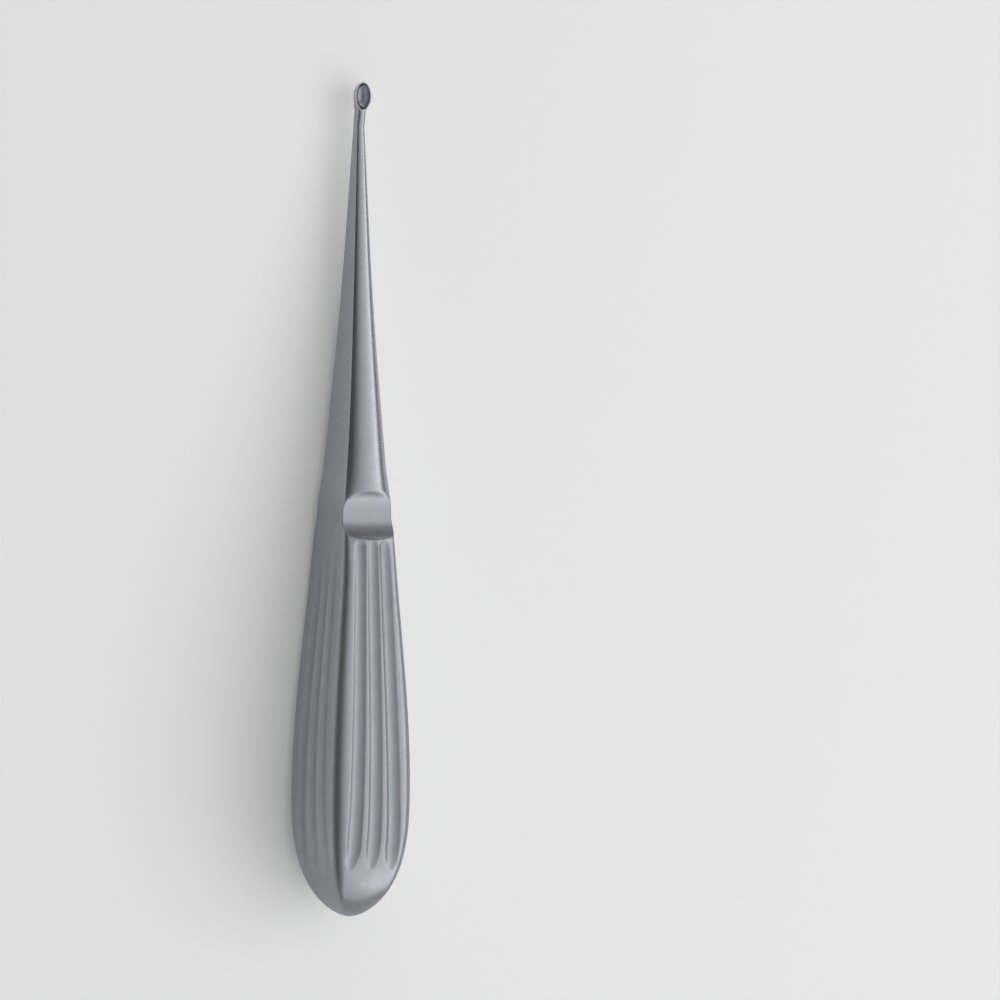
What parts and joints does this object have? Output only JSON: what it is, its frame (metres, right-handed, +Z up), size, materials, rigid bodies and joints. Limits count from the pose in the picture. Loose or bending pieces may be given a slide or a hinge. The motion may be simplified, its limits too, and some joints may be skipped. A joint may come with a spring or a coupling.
{
  "type": "bone curette",
  "caption": "One-piece steel bone curette: fluted handle with dished thumb rests, tapering flat-sided shaft and a small oval sharp cup.",
  "frame": {"origin": "on the surface the tool lies on, under the middle of its bounding box", "axes": "+Y along the tool towards the cup, +Z up, the way the cup and the front thumb rest face, +X across the flat sides; the tool lies on its back, so its own axis falls by about 3.4 degrees towards the cup"},
  "size_m": [0.0186, 0.1698, 0.0217],
  "materials": {
    "satin_stainless_steel": "satin, fine bead-blasted stainless steel"
  },
  "bodies": {
    "root": {"curette": "satin_stainless_steel"}
  },
  "joints": []
}
